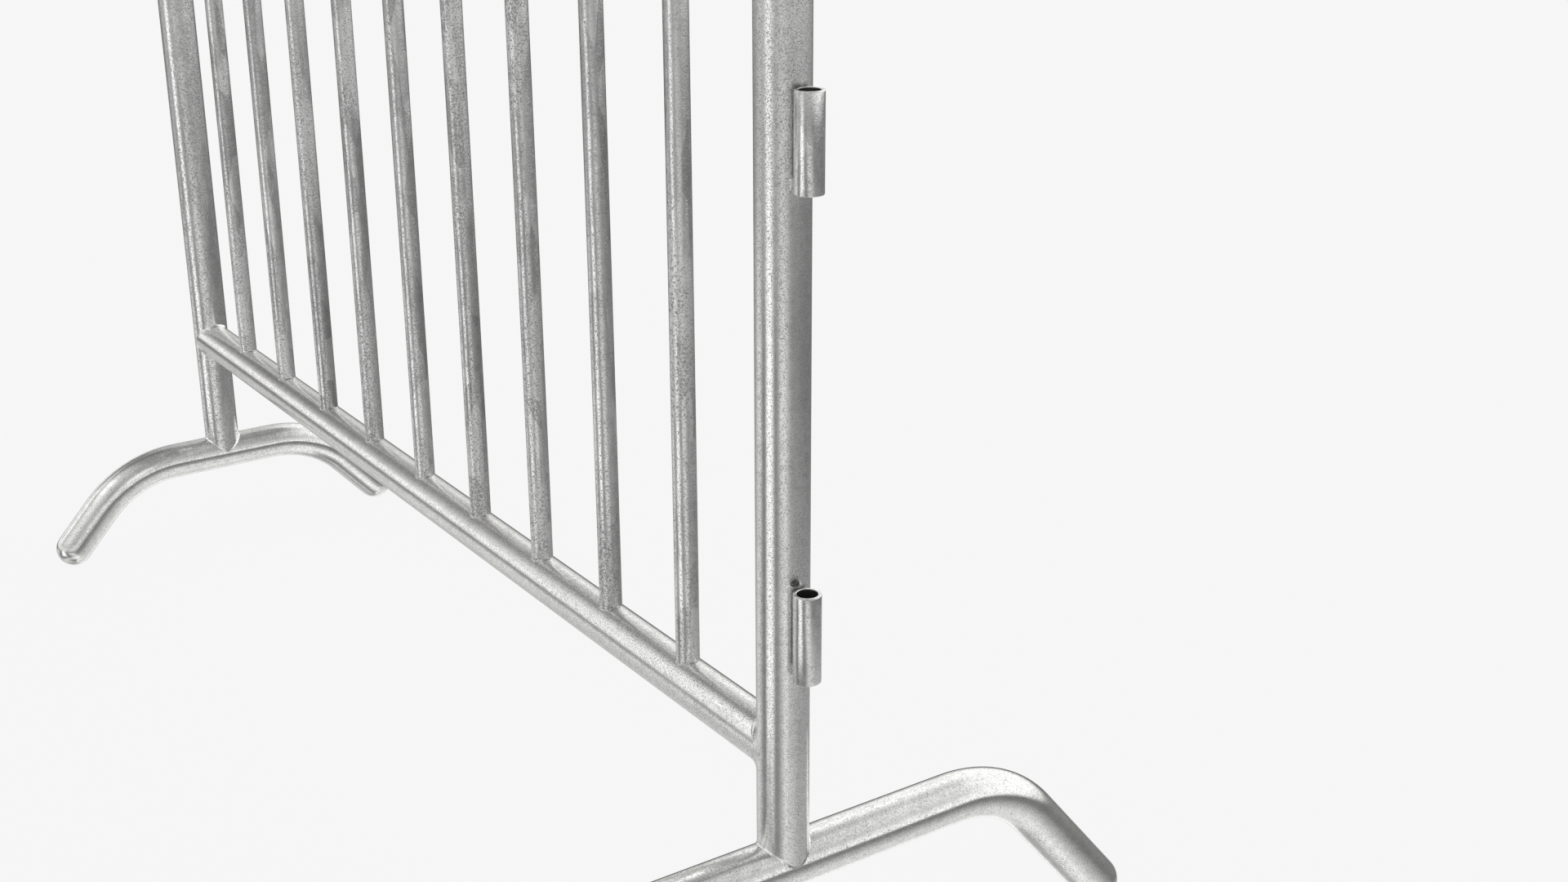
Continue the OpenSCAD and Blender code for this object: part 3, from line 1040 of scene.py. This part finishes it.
class BARRIER_OT_stage(bpy.types.Operator):
    """Set up the camera, the pale floor and the studio light"""

    bl_idname = "barrier.stage"
    bl_label = "Stage"

    def execute(self, context):
        studio = context.scene.barrier.studio
        camera = bpy.data.objects.new("camera", bpy.data.cameras.new("camera"))
        context.scene.collection.objects.link(camera)
        camera.location = studio.camera_place
        camera.rotation_euler = Euler(studio.camera_turn)
        camera.data.sensor_width = SENSOR_WIDTH
        camera.data.lens = studio.lens
        camera.data.clip_end = CLIP_END
        context.scene.camera = camera
        context.scene.view_settings.view_transform = "Standard"
        context.scene.world = studio_world(studio.backdrop)
        shape = bmesh.new()
        bmesh.ops.create_circle(shape, cap_ends=True, segments=128, radius=studio.floor_radius)
        mesh = bpy.data.meshes.new("floor")
        shape.to_mesh(mesh)
        shape.free()
        floor = bpy.data.objects.new("floor", mesh)
        context.scene.collection.objects.link(floor)
        floor.location.z = CAD_BOX[0].z
        material = bpy.data.materials.new("floor_paper")
        material.use_nodes = True
        shader = material.node_tree.nodes["Principled BSDF"]
        shader.inputs["Base Color"].default_value = (FLOOR_GREY, FLOOR_GREY, FLOOR_GREY, 1)
        shader.inputs["Specular IOR Level"].default_value = 0.0
        shader.inputs["Roughness"].default_value = 1.0
        shader.inputs["Emission Color"].default_value = (1, 1, 1, 1)
        shader.inputs["Emission Strength"].default_value = studio.backdrop - FLOOR_LIT
        give_material(floor, material)
        floor.visible_glossy = False
        return {"FINISHED"}


# ---------------------------------------------------------------- panel and run


class BARRIER_PT_panel(bpy.types.Panel):
    """Lists the barrier's operators"""

    bl_idname = "BARRIER_PT_panel"
    bl_label = "Crowd barrier"
    bl_space_type = "VIEW_3D"
    bl_region_type = "UI"
    bl_category = "Barrier"

    def draw(self, context):
        for kind in OPERATORS:
            self.layout.operator(kind.bl_idname)


OPERATORS = [BARRIER_OT_stage, BARRIER_OT_posts, BARRIER_OT_rails, BARRIER_OT_bars, BARRIER_OT_feet,
             BARRIER_OT_couplings, BARRIER_OT_welds]
CLASSES = [BarrierFinish, BarrierFeet, BarrierWelds, BarrierStudio, BarrierSettings, *OPERATORS,
           BARRIER_PT_panel]


def register():
    for kind in CLASSES:
        bpy.utils.register_class(kind)
    bpy.types.Scene.barrier = PointerProperty(type=BarrierSettings)


def unregister():
    del bpy.types.Scene.barrier
    for kind in reversed(CLASSES):
        bpy.utils.unregister_class(kind)


def main():
    register()
    for kind in OPERATORS:
        area, call = kind.bl_idname.split(".")
        getattr(getattr(bpy.ops, area), call)()
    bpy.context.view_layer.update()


if __name__ == "__main__":
    main()
